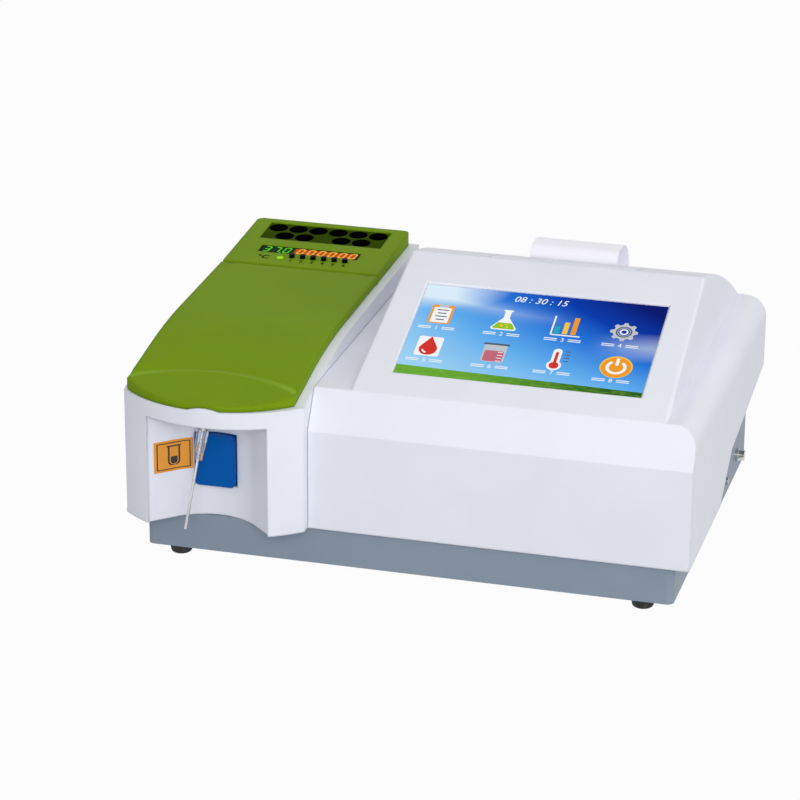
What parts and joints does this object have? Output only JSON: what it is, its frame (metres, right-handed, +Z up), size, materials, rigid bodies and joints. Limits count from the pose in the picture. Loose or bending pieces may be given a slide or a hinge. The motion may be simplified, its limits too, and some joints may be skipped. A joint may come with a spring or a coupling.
{
  "type": "benchtop chemistry analyzer",
  "caption": "Benchtop analyzer with a tilted touch screen, hinged lid over a sample chamber, incubator wells with timer keys, sipper recess with a push button, and a paper printer.",
  "frame": {"origin": "on the table, below the centre of the object's box", "axes": "+X to the right as seen from the front, +Y to the rear, +Z up"},
  "size_m": [0.358, 0.29, 0.1683],
  "materials": {
    "white_shell": "satin moulded",
    "green_shell": "satin moulded",
    "grey_tray": "satin powder coat",
    "black_rubber": "matte",
    "steel": "plain",
    "bright_metal": "polished",
    "panel_dark": "matte",
    "heater_metal": "machined",
    "smoke_window": "clear",
    "clear_glass": "clear",
    "clear_plastic": "clear",
    "black_plastic": "matte",
    "board_green": "solder mask",
    "key_white": "smooth",
    "led_red": "clear red",
    "deck_grey": "matte",
    "button_blue": "smooth",
    "label_amber": "printed film",
    "touch_panel": "glossy",
    "display_metal": "sheet",
    "paper": "thermal paper",
    "platen_rubber": "ground",
    "port_metal": "plated",
    "motor_metal": "satin",
    "wheel_black": "anodised",
    "lamp_glass": "clear",
    "pump_white": "moulded",
    "hose": "silicone",
    "brass": "plain"
  },
  "bodies": {
    "frame": {"amber_label": "label_amber", "base_tray": "grey_tray", "button_switch": "black_plastic", "cell_holder": "heater_metal", "chamber_deck": "deck_grey", "condenser_lens": "clear_glass", "digit_display": "black_plastic", "display_window": "smoke_window", "fan_frame": "black_plastic", "fan_guard": "steel", "flow_cell": "clear_glass", "foot_screws": "steel", "halogen_lamp": "lamp_glass", "incubator_block": "heater_metal", "incubator_casing": "white_shell", "incubator_cover": "green_shell", "indicator_led": "led_red", "key_board": "board_green", "lamp_housing": "display_metal", "lcd_frame": "black_plastic", "lcd_module": "display_metal", "main_board": "board_green", "optical_bench": "heater_metal", "paper_strip": "paper", "photodetector": "motor_metal", "power_inlet": "black_plastic", "power_supply": "display_metal", "printer_housing": "black_plastic", "pump_body": "deck_grey", "pump_hose": "hose", "rubber_feet": "black_rubber", "serial_port": "port_metal", "side_screw": "steel", "side_terminal": "bright_metal", "sipper_collar": "bright_metal", "sipper_sleeve": "clear_plastic", "sipper_tube": "steel", "touch_glass": "touch_panel", "upper_casing": "white_shell", "usb_port": "port_metal", "waste_fitting": "brass", "well_panel": "panel_dark", "wheel_motor": "motor_metal"},
    "lid": {"flip_lid": "green_shell", "lid_hinge_pins": "steel"},
    "button": {"aspirate_button": "button_blue"},
    "door": {"printer_cover": "white_shell"},
    "rocker": {"rocker_switch": "black_plastic"},
    "fan": {"fan_rotor": "black_plastic"},
    "wheel": {"filter_wheel": "wheel_black", "colour_filters": "clear_glass"},
    "pump_wheel": {"pump_rotor": "pump_white"},
    "roll": {"paper_roll": "paper"},
    "platen": {"platen_roller": "platen_rubber"},
    "key_1": {"timer_key_1": "key_white"},
    "key_2": {"timer_key_2": "key_white"},
    "key_3": {"timer_key_3": "key_white"},
    "key_4": {"timer_key_4": "key_white"},
    "key_5": {"timer_key_5": "key_white"},
    "key_6": {"timer_key_6": "key_white"}
  },
  "joints": [
    {"name": "lid_hinge", "type": "hinge", "parent": "frame", "child": "lid", "pos_m": [-0.1224, 0.063, 0.13385], "axis": [-1, 0, 0], "range_deg": [0, 95]},
    {"name": "aspirate_press", "type": "slide", "parent": "frame", "child": "button", "axis": [0, 1, 0], "range_m": [0, 0.0025], "stiffness_N_per_m": 400, "springref_m": -0.001},
    {"name": "door_hinge", "type": "hinge", "parent": "frame", "child": "door", "pos_m": [0.0637, 0.0368, 0.1651], "axis": [1, 0, 0], "range_deg": [0, 65]},
    {"name": "power_rocker", "type": "hinge", "parent": "frame", "child": "rocker", "pos_m": [0.129, 0.1384, 0.0335], "axis": [1, 0, 0], "range_deg": [0, 10]},
    {"name": "fan_spin", "type": "hinge", "parent": "frame", "child": "fan", "pos_m": [0.059, 0.13, 0.0467], "axis": [0, 1, 0], "continuous": true},
    {"name": "filter_wheel_turn", "type": "hinge", "parent": "frame", "child": "wheel", "pos_m": [-0.126, -0.022, 0.052], "axis": [1, 0, 0], "continuous": true},
    {"name": "pump_turn", "type": "hinge", "parent": "frame", "child": "pump_wheel", "pos_m": [-0.127, 0.09, 0.053], "axis": [0, 1, 0], "continuous": true},
    {"name": "paper_roll_turn", "type": "hinge", "parent": "frame", "child": "roll", "pos_m": [0.0606, 0.0627, 0.118], "axis": [1, 0, 0], "continuous": true},
    {"name": "platen_turn", "type": "hinge", "parent": "frame", "child": "platen", "pos_m": [0.0606, 0.0841, 0.1395], "axis": [1, 0, 0], "continuous": true},
    {"name": "key_1_press", "type": "slide", "parent": "frame", "child": "key_1", "axis": [0, 0, -1], "range_m": [0, 0.0008], "stiffness_N_per_m": 300, "springref_m": -0.0005},
    {"name": "key_2_press", "type": "slide", "parent": "frame", "child": "key_2", "axis": [0, 0, -1], "range_m": [0, 0.0008], "stiffness_N_per_m": 300, "springref_m": -0.0005},
    {"name": "key_3_press", "type": "slide", "parent": "frame", "child": "key_3", "axis": [0, 0, -1], "range_m": [0, 0.0008], "stiffness_N_per_m": 300, "springref_m": -0.0005},
    {"name": "key_4_press", "type": "slide", "parent": "frame", "child": "key_4", "axis": [0, 0, -1], "range_m": [0, 0.0008], "stiffness_N_per_m": 300, "springref_m": -0.0005},
    {"name": "key_5_press", "type": "slide", "parent": "frame", "child": "key_5", "axis": [0, 0, -1], "range_m": [0, 0.0008], "stiffness_N_per_m": 300, "springref_m": -0.0005},
    {"name": "key_6_press", "type": "slide", "parent": "frame", "child": "key_6", "axis": [0, 0, -1], "range_m": [0, 0.0008], "stiffness_N_per_m": 300, "springref_m": -0.0005}
  ],
  "couplings": [
    {"joint": "platen_turn", "follows": "paper_roll_turn", "ratio": -3.5556}
  ]
}
